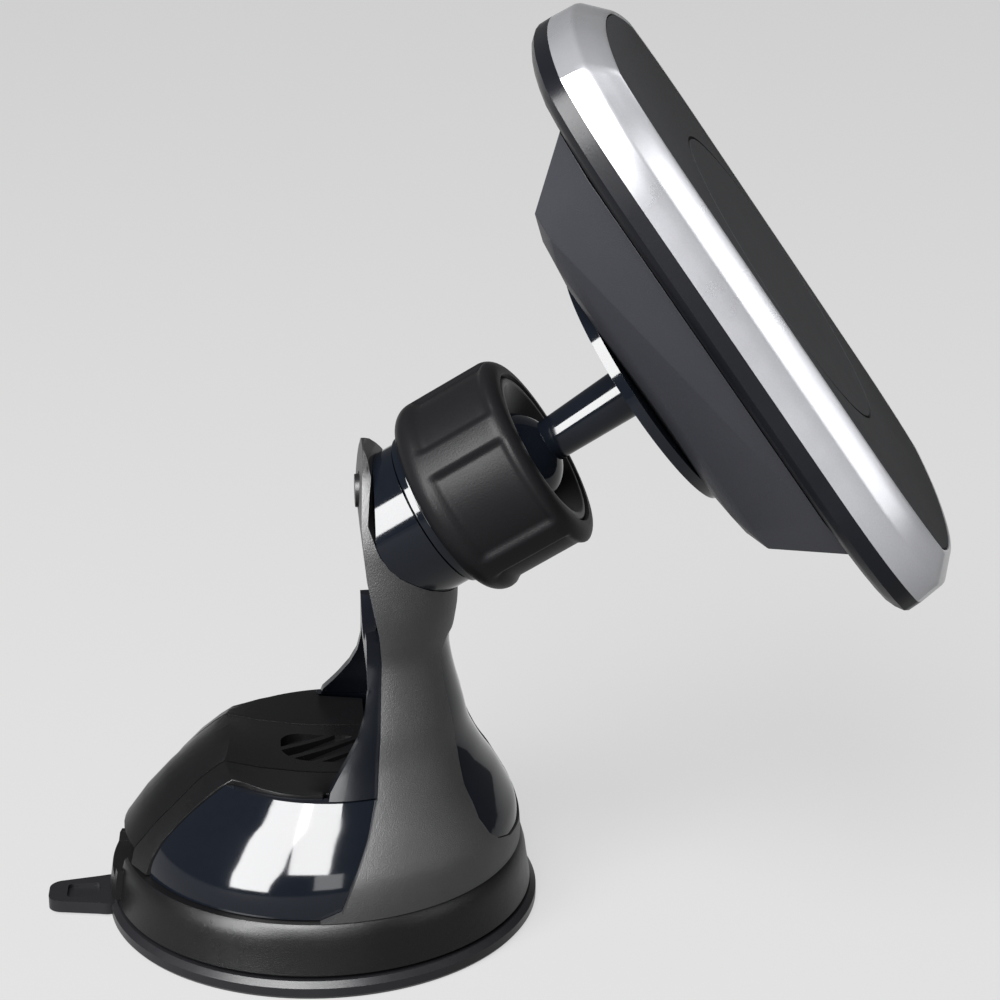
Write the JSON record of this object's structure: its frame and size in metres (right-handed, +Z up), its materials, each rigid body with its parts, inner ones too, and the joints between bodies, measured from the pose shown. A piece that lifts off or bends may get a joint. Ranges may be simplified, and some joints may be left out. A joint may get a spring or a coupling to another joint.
{
  "type": "suction cup car phone mount",
  "caption": "Car mount: lever-locked suction base, curved arm, ball joint with clamp knob, and a tilted wireless charging plate that holds a navigation phone.",
  "frame": {"origin": "centre of the suction cup's contact face, on the surface it sticks to", "axes": "+Z up, away from that surface; +X the way the charging plate faces; +Y to its left"},
  "size_m": [0.1429, 0.07, 0.1454],
  "materials": {
    "black_rubber": "semi-gloss black rubber",
    "textured_black": "spark-textured black plastic",
    "gloss_black": "polished black plastic",
    "soft_black": "soft-touch black elastomer",
    "hard_black": "satin black plastic",
    "charcoal": "satin charcoal plastic",
    "silver_paint": "silver metallic paint on plastic",
    "pad_rubber": "matte dark grey rubber",
    "white_nylon": "natural acetal",
    "spring_steel": "bright spring wire",
    "steel": "zinc-plated steel",
    "copper": "enamelled copper wire",
    "ferrite": "dark sintered ferrite",
    "lead_red": "insulated wire",
    "magnet": "nickel plating",
    "board_green": "solder mask",
    "chip_black": "moulded epoxy"
  },
  "bodies": {
    "base": {"suction_cup": "black_rubber", "base_ring": "textured_black", "guide_plate": "hard_black", "stem_spring": "spring_steel", "lever_surround": "textured_black", "dome_cover": "gloss_black", "arm_core": "gloss_black", "front_inlay": "gloss_black", "arm_shell": "textured_black", "arm_screws": "steel", "rear_cap": "hard_black", "socket_barrel": "gloss_black"},
    "stem": {"cup_centre": "black_rubber", "lock_stem": "white_nylon", "lever_pin": "steel"},
    "lever": {"lock_lever": "textured_black", "lever_cam": "white_nylon"},
    "washer": {"slip_ring": "gloss_black"},
    "knob": {"clamp_nut": "hard_black", "knob_grip": "soft_black"},
    "socket": {"ball_cup": "hard_black"},
    "stud": {"stud_core": "steel"},
    "head": {"ball_stud": "gloss_black", "flange_screws": "steel", "rear_box": "charcoal", "back_rim": "hard_black", "silver_bezel": "silver_paint", "coil_tray": "hard_black", "front_pad": "pad_rubber", "charging_coil": "copper", "ferrite_sheet": "ferrite", "coil_leads": "lead_red", "holding_magnets": "magnet", "circuit_board": "board_green", "board_chips": "chip_black", "usb_socket": "steel", "board_screws": "steel", "tray_screws": "steel"}
  },
  "joints": [
    {"name": "stem_slide", "type": "slide", "parent": "base", "child": "stem", "axis": [0, 0, 1], "range_m": [-0.002, 0], "deforming": ["stem_spring"]},
    {"name": "lever_hinge", "type": "hinge", "parent": "stem", "child": "lever", "pos_m": [0, 0, 0.0173], "axis": [-0.1736, 0.9848, 0], "range_deg": [0, 60]},
    {"name": "knob_slide", "type": "slide", "parent": "base", "child": "washer", "axis": [0.848, 0, 0.5299], "range_m": [0, 0.001]},
    {"name": "knob_turn", "type": "hinge", "parent": "washer", "child": "knob", "pos_m": [0.03598, 0, 0.07819], "axis": [0.848, 0, 0.5299], "range_deg": [0, 180]},
    {"name": "ball_swivel", "type": "hinge", "parent": "base", "child": "socket", "pos_m": [0.03052, 0, 0.07478], "axis": [0.848, 0, 0.5299], "continuous": true},
    {"name": "ball_tilt", "type": "hinge", "parent": "socket", "child": "stud", "pos_m": [0.03052, 0, 0.07478], "axis": [0, 1, 0], "range_deg": [-25, 25]},
    {"name": "head_roll", "type": "hinge", "parent": "stud", "child": "head", "pos_m": [0.03052, 0, 0.07478], "axis": [0.8192, 0, 0.5736], "continuous": true}
  ],
  "couplings": [
    {"joint": "stem_slide", "follows": "lever_hinge", "m_per_rad": -0.0019099},
    {"joint": "knob_slide", "follows": "knob_turn", "m_per_rad": 0.00031831}
  ]
}
